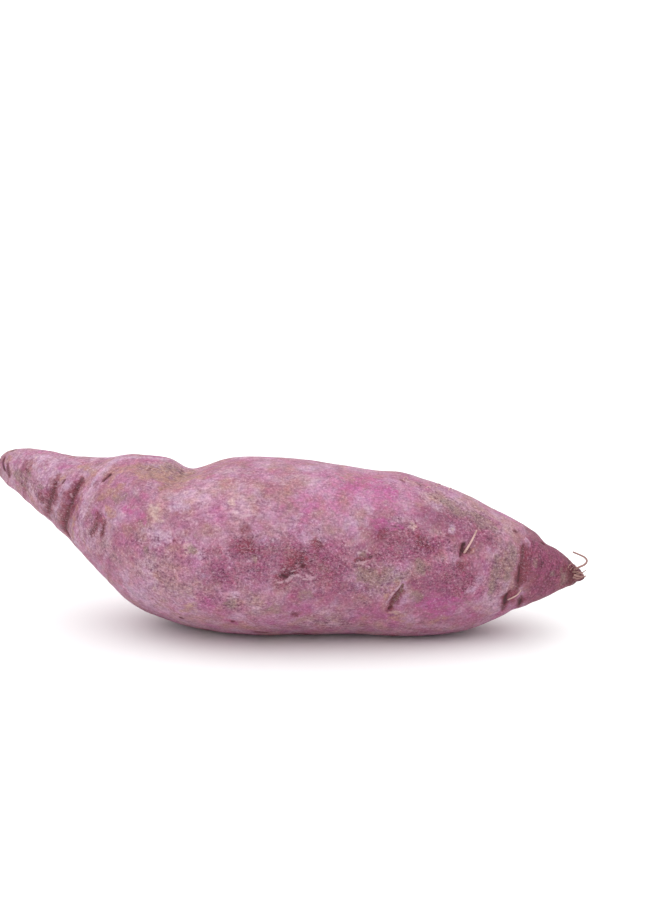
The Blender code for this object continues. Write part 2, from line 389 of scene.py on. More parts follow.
# The pit that a rootlet grew from, and the skin round it
ROOTLET_PIT = [
    seen("dark", 1.1, 0.5, (461, 556), (463, 549), (464.5, 543)),
    seen("brown", 1.3, 0.1, (464, 552), (469, 549)),
    seen("tan", 1.4, 0.0, (469, 553), (474, 549)),
    seen("lilac", 1.4, 0.0, (450, 531), (456, 527)),
    seen("cream", 0.6, 0.0, (452, 530), (455, 527)),
    seen("olive", 2.0, 0.0, (418, 560), (424, 574)),
    seen("maroon", 2.0, 0.0, (458, 562), (466, 571)),
    seen("lilac", 1.6, 0.0, (467, 592), (475, 588)),
    seen("tan", 2.0, 0.0, (430, 622), (448, 618)),
]

# The band before the tail, its crease and its pits
TAIL_BAND = [
    seen("greige", 6.0, 0.0, (506, 540), (502, 565), (498, 585), (490, 605)),
    seen("olive", 3.2, 0.0, (513, 540), (511, 562), (508, 580)),
    seen("olive", 2.2, 0.0, (498, 556), (494, 576), (488, 596)),
    seen("maroon", 2.4, 0.0, (525, 545), (523, 560), (521, 588)),
    seen("brown", 0.7, 0.2, (523, 544), (522, 556), (520, 568)),
    seen("brown", 1.2, 0.25, (521, 560), (519, 575), (518, 590)),
    seen("dark", 0.45, 0.1, (520, 566), (519, 576), (518, 584)),
    seen("lilac", 0.9, -0.1, (526, 538), (527, 548)),
    seen("brown", 1.2, 0.2, (519, 607), (521, 597)),
    seen("dark", 0.6, 0.25, (519, 606), (521, 600)),
    seen("dark", 0.8, 0.3, (504.5, 605), (506, 598), (508, 593)),
    seen("maroon", 2.4, 0.0, (510, 592), (514, 602)),
    seen("brown", 1.0, 0.15, (510, 591), (505, 600), (502, 611)),
    seen("rosy", 1.8, 0.0, (512, 600), (516, 603)),
    seen("brown", 0.7, 0.05, (513, 531), (517, 532)),
]

# The tail
TAIL_MARKS = [
    seen("dusky", 2.6, 0.0, (531, 545), (543, 552), (552, 560)),
    seen("pink", 4.0, 0.0, (532, 548), (552, 560)),
    seen("wine", 6.0, 0.0, (535, 588), (548, 586), (558, 580)),
    seen("dusky", 6.5, 0.0, (532, 556), (548, 568), (562, 576)),
    seen("olive", 1.2, 0.0, (534, 560), (536, 567)),
    seen("olive", 1.3, 0.1, (550, 573), (553, 575)),
    seen("dark", 0.5, 0.3, (541, 542), (545, 545)),
    seen("olive", 2.0, 0.0, (561, 570), (566, 578), (562, 584)),
    seen("brown", 2.2, 0.15, (570, 569), (576, 575), (569, 582)),
    seen("maroon", 4.0, 0.0, (562, 572), (574, 575)),
    seen("dark", 0.6, 0.2, (571, 565), (574, 569)),
    seen("tan", 0.8, -0.2, (578, 568), (582, 575)),
]

# Lenticels and loose flakes by the top edge
TOP_EDGE = [
    seen("dusky", 0.6, 0.1, (392, 483), (397, 483)),
    seen("dark", 0.45, 0.1, (401, 480), (404, 481.5)),
    seen("thread", 0.5, -0.2, (405, 484), (408, 482), (405, 479)),
    seen("dark", 0.4, 0.1, (417, 483), (421, 486)),
    seen("thread", 0.4, -0.2, (425, 489), (431, 488)),
    seen("dark", 0.4, 0.1, (436, 485), (440, 487)),
]

MARKS = [
    *WIDE_PATCHES, *STEM_RIM_MARKS, *NECK_CREASES, *SHOULDER_STREAKS, *SHOULDER_LIP, *BODY_LEFT,
    *BODY_TOP, *DUSKY_MIDDLE, *LOWER_MIDDLE, *CORKED_SLIT, *ROOTLET_PIT, *TAIL_BAND, *TAIL_MARKS,
    *TOP_EDGE,
]

# The same kinds of marks on the sides that the picture doesn't show, by chance. A kind has its
# count, its least and greatest reach, and its greatest length, in mm.
SEED = 5
chance = random.Random(SEED)
noise.seed_set(SEED)  # for the wavering edges of the marks
HIDDEN_FROM, HIDDEN_TO = 108, 300  # the angles round the root, from over its top to its belly
HIDDEN_KINDS = {
    "pale": (5, 5.0, 9.0, 20),
    "pink": (5, 5.0, 9.0, 20),
    "rosy": (14, 1.6, 3.4, 6),
    "dusky": (9, 4.0, 9.0, 16),
    "wine": (12, 6.0, 11.0, 22),
    "maroon": (12, 1.2, 2.8, 10),
    "cream": (12, 1.0, 3.2, 6),
    "olive": (12, 1.2, 3.0, 6),
    "greige": (9, 3.0, 7.0, 14),
    "lilac": (8, 1.2, 2.6, 6),
    "tan": (8, 1.0, 2.2, 4),
}
DOTS = 22
SCARS = 9
SCAR_ANGLES = (130, 170, 214, 256)
SCAR_TURNS = 3  # how many of those angles on each scar is from the last
SCAR_SLANT = 75
HIDDEN_CREASES = (  # share of the length, angle and length in mm
    (0.09, 200, 12), (0.125, 130, 16), (0.13, 230, 14), (0.17, 170, 10),
    (0.88, 150, 9), (0.885, 215, 12), (0.93, 180, 7),
)


def spread_out(start, stretch, number, count):
    """A share of the length by chance, in one of count equal parts of a stretch of it."""
    return start + stretch * (number + chance.random()) / count


for kind, (count, least, most, longest) in HIDDEN_KINDS.items():
    for number in range(count):
        share = spread_out(0.08, 0.86, number, count)
        angle = chance.uniform(HIDDEN_FROM, HIDDEN_TO)
        reach = chance.uniform(least, most)
        length = chance.uniform(0, longest)
        slant = chance.uniform(0, 180)
        MARKS.append(hidden(kind, reach, 0, share, angle, length, slant))
for number in range(DOTS):
    share = spread_out(0.10, 0.84, number, DOTS)
    angle = chance.uniform(HIDDEN_FROM, HIDDEN_TO)
    reach = chance.uniform(0.3, 0.6)
    depth = chance.uniform(0.1, 0.3)
    MARKS.append(hidden("dark", reach, depth, share, angle))
for number in range(SCARS):
    share = spread_out(0.18, 0.7, number, SCARS)
    angle = SCAR_ANGLES[number * SCAR_TURNS % len(SCAR_ANGLES)] + chance.uniform(-8, 8)
    slant = SCAR_SLANT + chance.uniform(-25, 25)
    length = chance.uniform(2.5, 6.0)
    kind = "scar" if number % 2 else "dark"
    MARKS.append(hidden(kind, 0.7, 0.35, share, angle, length, slant))
    MARKS.append(hidden("cream", 0.35, -0.2, share - 0.006, angle, length * 1.4, slant))
    MARKS.append(hidden("olive", 1.6, 0, share + 0.008, angle, length, slant))
for share, angle, length in HIDDEN_CREASES:
    slant = 90 + chance.uniform(-12, 12)
    MARKS.append(hidden("maroon", 2.4, 0.1, share, angle, length, slant))
    MARKS.append(hidden("brown", 0.8, 0.25, share, angle, length * 0.8, slant))
    MARKS.append(hidden("tan", 1.2, 0, share + 0.012, angle, length * 0.7, slant))

# Faces are halved first where a mark is sunk, so that it keeps its edge
DEEP = 0.2 * MM
ROUND_MARK = 1.0 * MM  # how far past a mark's reach faces are still halved
NECK_END = 0.2  # the faces of the neck and of the tail are small enough already
TAIL_START = 0.85
sunken = [mark for mark in MARKS if mark.depth >= DEEP]


def holds_a_mark(face):
    """Whether a sunken mark runs over a face or close by it."""
    middle = face.calc_center_median()
    return any(
        (middle - point).length < mark.reach + ROUND_MARK
        for mark in sunken for point in mark.line[::2]
    )


wide_faces = {
    face for face in coarse.faces
    if NECK_END < (face.calc_center_median().x - low.x) / LENGTH < TAIL_START and holds_a_mark(face)
}
edges = [edge for edge in coarse.edges if not wide_faces.isdisjoint(edge.link_faces)]
bmesh.ops.subdivide_edges(coarse, edges=edges, cuts=1, use_grid_fill=True)

draft = bpy.data.objects.new("draft", bpy.data.meshes.new("draft"))
coarse.to_mesh(draft.data)
coarse.free()
bpy.context.scene.collection.objects.link(draft)
finer = draft.modifiers.new("finer", "SUBSURF")
finer.levels = finer.render_levels = SUBDIVISIONS
graph = bpy.context.evaluated_depsgraph_get()
skin_mesh = bpy.data.meshes.new_from_object(draft.evaluated_get(graph))
skin_mesh.name = "sweet_potato_skin"
bpy.data.objects.remove(draft)


def read_vectors(mesh, field):
    """One vector for each vertex, as the rows of an array."""
    flat = np.zeros(len(mesh.vertices) * 3)
    mesh.vertices.foreach_get(field, flat)
    return flat.reshape(-1, 3)


places = read_vectors(skin_mesh, "co")
normals = read_vectors(skin_mesh, "normal")
shares = (places[:, 0] - low.x) / LENGTH
from_middle_y = places[:, 1] - np.interp(places[:, 0], slice_x, middle_y)
from_middle_z = places[:, 2] - np.interp(places[:, 0], slice_x, middle_z)
lean_y = np.interp(places[:, 0], slice_x, np.gradient(middle_y, slice_x))
lean_z = np.interp(places[:, 0], slice_x, np.gradient(middle_z, slice_x))

# The skin's own coordinates: how far along the bent root, and then from its middle line, as if
# it had been straightened
along = places[:, 0] + lean_y * from_middle_y + lean_z * from_middle_z
grown = np.stack([along, from_middle_y, from_middle_z], axis=1)


def bell(distance, reach):
    """1 where the distance is 0, falling off smoothly to nearly 0 at twice the reach."""
    return np.exp(-((distance / reach) ** 2))


def ease(value, start, end):
    """0 before start and 1 after end, with a smooth rise between them."""
    t = np.clip((value - start) / (end - start), 0, 1)
    return t * t * (3 - 2 * t)


def pattern(points, sizes):
    """Smooth noise from -1 to 1 at each point, with one grain size or one for each axis."""
    scaled = points / np.array(sizes)
    return np.array([noise.noise(point) for point in scaled.tolist()])


def wander(size):
    """A smooth push for each vertex, in all three directions, from about -1 to 1."""
    return np.array([noise.noise_vector(point) for point in (places / size).tolist()])


# What makes the edge of a mark waver, and its width uneven
BROAD_WAVER, BROAD_WAVER_SIZE = 0.45, 4.5 * MM
FINE_WAVER, FINE_WAVER_SIZE = 0.3, 1.4 * MM
UNEVENNESS, UNEVEN_SIZE = 0.6, 2.6 * MM
THIN_END = 0.4  # the width of a mark at its two ends, against its middle
TINY = 1e-12
broad_wander = wander(BROAD_WAVER_SIZE)
fine_wander = wander(FINE_WAVER_SIZE)
uneven = 1 + UNEVENNESS * pattern(places, UNEVEN_SIZE)


def distance_to(mark):
    """How far each vertex is from a mark's line, in its reaches, with a wavering edge and narrow
    ends."""
    wavered = places + mark.reach * (BROAD_WAVER * broad_wander + FINE_WAVER * fine_wander)
    nearest = np.full(len(places), np.inf)
    passed = np.zeros(len(places))
    stretches = list(zip(mark.line, mark.line[1:] or mark.line))
    for number, (start, end) in enumerate(stretches):
        span = np.array(end - start)
        offset = wavered - np.array(start)
        t = np.clip(offset @ span / max(span @ span, TINY), 0, 1)
        distance = np.linalg.norm(offset - t[:, None] * span, axis=1)
        passed = np.where(distance < nearest, (number + t) / len(stretches), passed)
        nearest = np.minimum(nearest, distance)
    if len(stretches) == 1:
        return nearest / (mark.reach * uneven)
    narrowing = THIN_END + (1 - THIN_END) * np.sqrt(np.sin(np.pi * passed).clip(0, 1))
    return nearest / (mark.reach * narrowing * uneven)


# The relief: low bumps everywhere, wrinkles that run round the root where it narrows, and marks
BUMP, BUMP_SIZE = 0.16 * MM, 7 * MM
SMALL_BUMP, SMALL_BUMP_SIZE = 0.07 * MM, 2.4 * MM
WRINKLE, WRINKLE_SIZES = 0.16 * MM, (3.4 * MM, 12 * MM, 12 * MM)
FINE_WRINKLE, FINE_WRINKLE_SIZES = 0.07 * MM, (1.2 * MM, 5 * MM, 5 * MM)
TAIL_WRINKLES = 0.8
NECK_FADES, TAIL_STARTS = (0.12, 0.34), (0.80, 0.95)  # shares of the length

neck = 1 - ease(shares, *NECK_FADES)
tail = ease(shares, *TAIL_STARTS)
relief = BUMP * pattern(places, BUMP_SIZE)
relief += SMALL_BUMP * pattern(places, SMALL_BUMP_SIZE)
wrinkles = 1 - 2 * np.abs(pattern(grown, WRINKLE_SIZES))
fine_wrinkles = pattern(grown, FINE_WRINKLE_SIZES)
narrow = np.maximum(neck, TAIL_WRINKLES * tail)
relief += (WRINKLE * wrinkles + FINE_WRINKLE * fine_wrinkles) * narrow

# Thin kinds of mark are kept as a bell that is STAIN times as wide as their reach
STAINED = ("dark", "brown", "cork", "scar", "thread")
STAIN = 2.2
kinds = sorted({mark.kind for mark in MARKS})
touch = {kind: np.zeros(len(places)) for kind in kinds}
for mark in MARKS:
    distance = distance_to(mark)
    nearness = bell(distance, STAIN if mark.kind in STAINED else 1.0)
    touch[mark.kind] = np.maximum(touch[mark.kind], nearness)
    relief -= mark.depth * bell(distance, 1.0)

# The broken stem at the left end: a shallow, rough dish with a dried rim. The tail ends ragged.
STEM_DISH, DISH_DEPTH = 2.4 * MM, 0.7 * MM
STEM_RIM, RIM_WIDTH, RIM_HEIGHT = 3.4 * MM, 1.2 * MM, 0.25 * MM
CORK_REACH = 3.0 * MM
RAGGED_END, WEATHERED_END = 6 * MM, 9 * MM
TAIL_ROUGH, ROUGH_SIZE = 0.35 * MM, 0.9 * MM
TAIL_THREAD, THREAD_SIZES = 0.3 * MM, (4 * MM, 0.8 * MM, 0.8 * MM)

stem_tip = places[np.argmin(places[:, 0])]
stem_distance = np.linalg.norm(places - stem_tip, axis=1)
tail_tip = places[np.argmax(places[:, 0])]
tail_distance = np.linalg.norm(places - tail_tip, axis=1)
rough = pattern(places, ROUGH_SIZE)
threads = pattern(grown, THREAD_SIZES)
relief -= DISH_DEPTH * bell(stem_distance, STEM_DISH)
relief += (RIM_HEIGHT + RIM_HEIGHT * rough) * bell(stem_distance - STEM_RIM, RIM_WIDTH)
relief += (TAIL_ROUGH * rough + TAIL_THREAD * threads) * bell(tail_distance, RAGGED_END)
for kind, strength, distance, reach in (
    ("brown", 0.9, stem_distance - STEM_RIM, 1.0 * MM),
    ("cork", 1.0, stem_distance, CORK_REACH),
    ("brown", 1.0, tail_distance, WEATHERED_END),
    ("olive", 0.7, stem_distance, WEATHERED_END),
    ("olive", 0.7, tail_distance, WEATHERED_END),
):
    touch[kind] = np.maximum(touch[kind], strength * bell(distance, reach))

shaped = places + relief[:, None] * normals
shaped[:, 2] = np.maximum(shaped[:, 2], 0)
skin_mesh.vertices.foreach_set("co", shaped.ravel())
skin_mesh.update()

# How sunken the skin is at each vertex, against the same skin smoothed out, for the material to
# darken as painted shade
SMOOTH_TURNS = 14
FULLY_SUNK = 0.1 * MM
CRIMSON_STARTS, TIP_STARTS = (0.885, 0.91), (0.95, 0.975)  # shares of the length

smoothed = bmesh.new()
smoothed.from_mesh(skin_mesh)
for turn in range(SMOOTH_TURNS):
    bmesh.ops.smooth_vert(
        smoothed, verts=smoothed.verts, factor=0.5, use_axis_x=True, use_axis_y=True, use_axis_z=True
    )
flat_places = np.array([vertex.co for vertex in smoothed.verts])
smoothed.free()
sunk = np.einsum("ij,ij->i", flat_places - shaped, normals) / FULLY_SUNK


def keep_on_skin(name, values):
    """Stores one number for each vertex, for the material to read."""
    skin_mesh.attributes.new(name, "FLOAT", "POINT").data.foreach_set("value", values)


for kind in kinds:
    keep_on_skin(kind, touch[kind])
keep_on_skin("sunk", np.clip(sunk, -1, 1))
keep_on_skin("neck", np.maximum(neck, tail))
keep_on_skin("tail", ease(shares, *CRIMSON_STARTS))
keep_on_skin("tip", ease(shares, *TIP_STARTS))
skin_mesh.attributes.new("grown", "FLOAT_VECTOR", "POINT").data.foreach_set("vector", grown.ravel())
skin_mesh.shade_smooth()


# The skin's colour
# Purple and pink pigment shows through a thin, pale, dusty outer layer, in cloudy patches with
# fine grains of both. Cork is tan or olive, and scars and creases are brown to nearly black.
FULL_LIGHT = 1.4  # how much brighter than plain white the lamp and room light a level surface


def tone(red, green, blue):
    """The colour that shows as these 0 to 255 figures where the light falls fully."""
    def channel(value):
        """One channel, with the sRGB curve undone."""
        value /= 255
        linear = value / 12.92 if value <= 0.04045 else ((value + 0.055) / 1.055) ** 2.4
        return linear / FULL_LIGHT
    return (channel(red), channel(green), channel(blue), 1)


def put(tree, kind, inputs, **settings):
    """A node with its settings, and its inputs set or joined to other nodes' outputs."""
    node = tree.nodes.new("ShaderNode" + kind)
    for name, value in settings.items():
        setattr(node, name, value)
    for name, value in inputs.items():
        if isinstance(value, bpy.types.NodeSocket):
            tree.links.new(value, node.inputs[name])
        else:
            node.inputs[name].default_value = value
    return node


def cloud(tree, where, size, detail=3, roughness=0.55, distortion=0.0):
    """Soft noise from 0 to 1, with patches of about that size."""
    values = {"Vector": where, "Scale": 1 / size, "Detail": detail}
    values |= {"Roughness": roughness, "Distortion": distortion}
    return put(tree, "TexNoise", values).outputs["Fac"]


def rise(tree, value, start, end):
    """0 where the value is under start and 1 where it is over end."""
    values = {"Value": value, "From Min": start, "From Max": end}
    return put(tree, "MapRange", values, interpolation_type="SMOOTHSTEP").outputs["Result"]


def sums(tree, operation, *values):
    """Math on two values, or on three for MULTIPLY_ADD."""
    return put(tree, "Math", dict(enumerate(values)), operation=operation).outputs[0]


def times(tree, first, second):
    """The product of two values."""
    return sums(tree, "MULTIPLY", first, second)


def blend(tree, first, second, amount):
    """Two values mixed: all of the first where amount is 0, and of the second where it is 1."""
    return put(tree, "Mix", {0: amount, 2: first, 3: second}, data_type="FLOAT").outputs[0]


def close_to_half(tree, value, width):
    """1 along the lines where a noise passes through 0.5, falling to 0 within that width."""
    return rise(tree, sums(tree, "ABSOLUTE", sums(tree, "SUBTRACT", value, 0.5)), width, 0.0)


def over(tree, below, colour, amount):
    """A colour laid over what is below it, as thickly as amount says."""
    mix = put(tree, "Mix", {0: amount, 6: below, 7: colour}, data_type="RGBA")
    return mix.outputs[2]


def attribute(tree, name, output="Fac"):
    """What the skin's vertices hold under a name."""
    return put(tree, "Attribute", {}, attribute_name=name).outputs[output]


def broken_up(tree, name, breakup, start, end, amount, spread=3.5):
    """A kind of mark, with its edge and its inside broken up by noise."""
    shift = times(tree, sums(tree, "SUBTRACT", breakup, 0.5), spread)
    mask = rise(tree, sums(tree, "ADD", attribute(tree, name), shift), start, end)
    here = rise(tree, attribute(tree, name), 0.02, 0.25)
    return times(tree, times(tree, mask, here), amount)


def stretched(tree, where, along, across):
    """Coordinates for a noise whose grains are that long along the root and across it."""
    values = {0: where, 1: (1 / along, 1 / across, 1 / across)}
    return put(tree, "VectorMath", values, operation="MULTIPLY").outputs["Vector"]


def shifted(tree, colour, where, size, strength):
    """A colour with each of its channels raised or lowered by a noise of its own."""
    shift = put(tree, "TexNoise", {"Vector": where, "Scale": 1 / size, "Detail": 1}).outputs["Color"]
    factors = {0: shift, 1: (strength,) * 3, 2: (1 - strength / 2,) * 3}
    factor = put(tree, "VectorMath", factors, operation="MULTIPLY_ADD").outputs["Vector"]
    return put(tree, "VectorMath", {0: colour, 1: factor}, operation="MULTIPLY").outputs["Vector"]


PATCH_SIZE, BLOT_SIZE, CLOUD_SIZE = 30 * MM, 9 * MM, 4 * MM
MOTTLE_SIZE, GRAIN_SIZE = 1.9 * MM, 0.7 * MM
RING_SIZES = (0.7 * MM, 4.0 * MM)  # each along the root and across it
STREAK_SIZES = (1.8 * MM, 0.8 * MM)
FOLD_SIZES = (2.4 * MM, 16 * MM)

skin = bpy.data.materials.new("sweet_potato_skin")
skin.use_nodes = True
tree = skin.node_tree
shader = tree.nodes["Principled BSDF"]
where = put(tree, "TexCoord", {}).outputs["Object"]
grown_where = attribute(tree, "grown", "Vector")
ringed_where = stretched(tree, grown_where, *RING_SIZES)
streaked_where = stretched(tree, grown_where, *STREAK_SIZES)

patches = cloud(tree, where, PATCH_SIZE, 3, 0.5, 0.4)
blots = cloud(tree, where, BLOT_SIZE, 4, 0.6, 0.6)
clouds = cloud(tree, where, CLOUD_SIZE, 3, 0.6)
mottle = cloud(tree, where, MOTTLE_SIZE, 3, 0.65)
grains = cloud(tree, where, GRAIN_SIZE, 3.5, 0.7)
rings = cloud(tree, ringed_where, 1.0, 4, 0.65)
streaks = cloud(tree, streaked_where, 1.0, 3, 0.65)
waist = attribute(tree, "neck")
lines = blend(tree, streaks, rings, waist)
broad_breakup = blend(tree, clouds, mottle, 0.5)
breakup = blend(tree, broad_breakup, lines, 0.3)
fine_breakup = blend(tree, lines, grains, 0.35)

PINK_LILAC = tone(194, 138, 164)
ROSE_PURPLE = tone(174, 106, 134)
DUSTY_PINK = tone(208, 158, 176)
PALE_PINK = tone(216, 172, 194)
WARM_PINK = tone(202, 118, 164)
CRIMSON = tone(146, 70, 94)
WINE = tone(140, 60, 98)
MAROON = tone(130, 50, 70)
MAGENTA = tone(184, 76, 142)
GREIGE = tone(168, 130, 136)
CREAM = tone(212, 176, 172)
TAN = tone(180, 130, 118)
OLIVE = tone(148, 116, 112)
LILAC = tone(206, 166, 192)
BROWN = tone(104, 46, 54)
NEAR_BLACK = tone(66, 26, 32)
CORK = tone(122, 86, 76)
SCAR_PURPLE = tone(92, 38, 58)
PALE_DUST = tone(238, 204, 220)
DRY_PINK = tone(226, 184, 198)
GRAIN_IN_CHANNELS = (0.88, 1.2, 1.0)  # the dark grains are plum and the light ones whitish

# The pigment, in broad patches, soft clouds and blots
colour = over(tree, PINK_LILAC, ROSE_PURPLE, rise(tree, patches, 0.36, 0.62))
colour = over(tree, colour, DUSTY_PINK, times(tree, rise(tree, clouds, 0.5, 0.72), 0.6))
colour = over(tree, colour, CRIMSON, times(tree, rise(tree, blots, 0.54, 0.72), 0.5))
colour = over(tree, colour, GREIGE, times(tree, rise(tree, blots, 0.44, 0.28), 0.7))

# Wide patches by place, each with how thickly it lies
WIDE_PATCH_TONES = (
    ("pale", PALE_PINK, 0.75), ("pink", WARM_PINK, 0.8),
    ("greige", GREIGE, 0.8), ("dusky", CRIMSON, 0.75),
)
for name, patch_tone, amount in WIDE_PATCH_TONES:
    colour = over(tree, colour, patch_tone, broken_up(tree, name, breakup, 0.1, 1.2, amount))

# Drifts of other tones, each with a noise of its own
DRIFT_SIZES = (10 * MM, 4.8 * MM)
DRIFT_TONES = (("Red", LILAC, 0.55), ("Green", TAN, 0.55), ("Blue", MAGENTA, 0.385))
for size in DRIFT_SIZES:
    drift = put(tree, "TexNoise", {"Vector": where, "Scale": 1 / size, "Detail": 0.5})
    drifts = put(tree, "SeparateColor", {"Color": drift.outputs["Color"]}).outputs
    for name, drift_tone, amount in DRIFT_TONES:
        strength = times(tree, rise(tree, drifts[name], 0.48, 0.8), amount)
        colour = over(tree, colour, drift_tone, strength)

# Painted highlight on folds and painted shade in furrows, round the root where it narrows
folds = cloud(tree, stretched(tree, grown_where, *FOLD_SIZES), 1.0, 2, 0.5)
painted_fold_highlight = times(tree, times(tree, rise(tree, folds, 0.54, 0.72), waist), 0.6)
painted_furrow_shade = times(tree, times(tree, rise(tree, folds, 0.47, 0.3), waist), 0.55)
colour = over(tree, colour, LILAC, painted_fold_highlight)
colour = over(tree, colour, MAROON, painted_furrow_shade)

# The tail is deep crimson, and its tip brown
colour = over(tree, colour, MAROON, times(tree, attribute(tree, "tail"), 0.7))
colour = over(tree, colour, BROWN, times(tree, attribute(tree, "tip"), 0.65))

# Small patches by place: where each comes in and is full, how thickly it lies and how far the
# noise spreads it
SMALL_PATCH_TONES = (
    ("wine", WINE, 0.05, 1.15, 0.75, 5.0),
    ("lilac", LILAC, 0.15, 1.0, 0.65, 3.5),
    ("cream", CREAM, 0.25, 1.1, 0.65, 3.5),
    ("rosy", MAGENTA, 0.25, 1.2, 0.65, 3.5),
    ("maroon", MAROON, 0.05, 1.0, 0.85, 3.5),
    ("olive", OLIVE, 0.2, 1.1, 0.8, 3.5),
    ("tan", TAN, 0.2, 1.1, 0.75, 3.5),
)
for name, patch_tone, start, end, amount, spread in SMALL_PATCH_TONES:
    patch = broken_up(tree, name, breakup, start, end, amount, spread)
    colour = over(tree, colour, patch_tone, patch)
# Painted shade: brown laid where the skin is sunken, in creases, pits and hollows
painted_hollow_shade = rise(tree, attribute(tree, "sunk"), 0.1, 1.0)
colour = over(tree, colour, BROWN, times(tree, painted_hollow_shade, 0.45))

# Painted shade in fine wrinkles round the root where it narrows
painted_wrinkle_shade = times(tree, times(tree, close_to_half(tree, rings, 0.03), waist), 0.35)
colour = over(tree, colour, MAROON, painted_wrinkle_shade)

# Scars, slits and pits: stained round them, and darkest in the middle
MIDDLE_TONES = (("cork", CORK), ("brown", BROWN), ("scar", SCAR_PURPLE), ("dark", NEAR_BLACK))
for name, middle in MIDDLE_TONES:
    colour = over(tree, colour, MAROON, broken_up(tree, name, breakup, 0.3, 1.0, 0.7, 2.0))
    colour = over(tree, colour, middle, broken_up(tree, name, fine_breakup, 0.72, 1.05, 0.9, 1.4))
colour = shifted(tree, colour, where, MOTTLE_SIZE, 0.25)

# Fine grain, lighter and darker, with a net of fine pale lines, stronger where the skin is dusky
rough_places = times(tree, attribute(tree, "greige"), 0.7)
rough_places = sums(tree, "MAXIMUM", rough_places, attribute(tree, "dusky"))
coarse_skin = sums(tree, "MULTIPLY_ADD", rise(tree, rough_places, 0.1, 0.8), 0.7, 0.95)
grain = sums(tree, "MULTIPLY_ADD", grains, 1.8, times(tree, lines, 1.1))
grain = sums(tree, "SUBTRACT", sums(tree, "MULTIPLY_ADD", mottle, 0.8, grain), 1.85)
grain = times(tree, grain, coarse_skin)
shades = {0: grain, 1: GRAIN_IN_CHANNELS, 2: (1, 1, 1)}
shade = put(tree, "VectorMath", shades, operation="MULTIPLY_ADD").outputs["Vector"]
colour = put(tree, "VectorMath", {0: colour, 1: shade}, operation="MULTIPLY").outputs["Vector"]
weave = cloud(tree, streaked_where, 0.8, 2, 0.6)
dust = times(tree, times(tree, close_to_half(tree, weave, 0.035), coarse_skin), 0.2)
dust = sums(tree, "MULTIPLY_ADD", rise(tree, grains, 0.56, 0.74), 0.5, dust)

# Less of that dust lies in the pits and on the tail. Loose flakes are dry and pale.
dust = times(tree, dust, rise(tree, attribute(tree, "dark"), 0.85, 0.45))
dust = times(tree, dust, sums(tree, "MULTIPLY_ADD", attribute(tree, "tail"), -0.5, 1.0))
colour = over(tree, colour, PALE_DUST, dust)
colour = over(tree, colour, DRY_PINK, broken_up(tree, "thread", fine_breakup, 0.74, 1.02, 0.6, 1.3))
tree.links.new(colour, shader.inputs["Base Color"])

# A dull skin, with a fine grain to the touch
LEAST_ROUGH, MOST_ROUGH = 0.48, 0.72
SHEEN = 0.35
dullness = put(tree, "MapRange", {"Value": mottle, "To Min": LEAST_ROUGH, "To Max": MOST_ROUGH})
tree.links.new(dullness.outputs["Result"], shader.inputs["Roughness"])
shader.inputs["Specular IOR Level"].default_value = SHEEN
height = times(tree, grains, 0.2)
height = sums(tree, "MULTIPLY_ADD", lines, 0.18, height)
height = sums(tree, "MULTIPLY_ADD", mottle, 0.2, height)
bump = put(tree, "Bump", {"Height": height, "Distance": MM, "Strength": 1.0})
tree.links.new(bump.outputs["Normal"], shader.inputs["Normal"])

root = bpy.data.objects.new("sweet_potato_skin", skin_mesh)
bpy.context.scene.collection.objects.link(root)
root.data.materials.clear()
root.data.materials.append(skin)
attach(root, "root")
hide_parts("sweet_potato")

# The rootlets
# Thin side roots and fibres of the same plant tissue, dried to the colour of straw. They grew out
# of the skin: one stands in its pit, one lies by the tail's crease, the tail is frayed into
# several, and short ones lie along the top edge.
STRAW = tone(244, 200, 192)
RUST = tone(128, 74, 68)
FIBRE_SIDES = 7
FIBRE_STEP = 0.35 * MM

# Those on the skin: how thick each starts and ends, and the pixels that it passes, each with its
# height over the skin, in mm
PIT_ROOTLET = (
    0.8, 0.5, (((464, 554), -0.6), ((467, 548), 0.5), ((471, 541), 1.1), ((475, 532), 1.4))
)
CREASE_ROOTLET = (
    0.55, 0.35, (((508, 600), -0.2), ((512, 597), 0.35), ((517, 594), 0.4), ((521, 590), 0.1))
)
TOP_EDGE_ROOTLETS = (
    (0.3, 0.15, (((436, 487), -0.1), ((438, 484), 0.35), ((441, 485), 0.1))),
    (0.3, 0.15, (((448, 491), -0.1), ((450, 487.5), 0.35), ((452, 489), 0.1))),
    (0.3, 0.15, (((424, 489), -0.1), ((428, 487), 0.35), ((431, 489), 0.1))),
    (0.3, 0.15, (((403, 480), -0.1), ((406, 477), 0.35), ((408, 480), 0.1))),
)
# Those of the frayed tail: the same, but each pixel with how much nearer to the camera the fibre
# is there than the skin at TAIL_PIXEL
TAIL_PIXEL = (574, 573)
TAIL_FIBRES = (
    (0.75, 0.55, (((574, 570), 0), ((579, 567), 1), ((585, 565), 1.5), ((588, 561), 1),
                  ((585, 557), 0), ((579, 554.5), -1), ((573, 552), -2))),
    (0.9, 0.4, (((574, 575), 1), ((580, 577), 1.5), ((586, 576), 1))),
    (0.7, 0.3, (((572, 572), 0), ((579, 572), 1.2), ((584, 575), 1.5))),
    (0.6, 0.3, (((573, 577), 1), ((578, 579), 1.2), ((582, 577), 2))),
    (0.4, 0.2, (((570, 570), 1.5), ((574, 565.5), 2.2), ((577, 567), 2))),
    (0.35, 0.2, (((568, 568), 2), ((569, 565), 3), ((573, 563), 2.4))),
    (0.6, 0.25, (((576, 574), 0), ((582, 573), -1.5), ((586, 570), -3))),
)

fibres = bmesh.new()
tail_heart = skin_under(TAIL_PIXEL)


def above_skin(pixel, lift_mm):
    """A point over the skin that the camera sees at a pixel, or under it where lift is below 0."""
    place = skin_under(pixel)
    return place + lift_mm * MM * surface.find_nearest(place)[1]


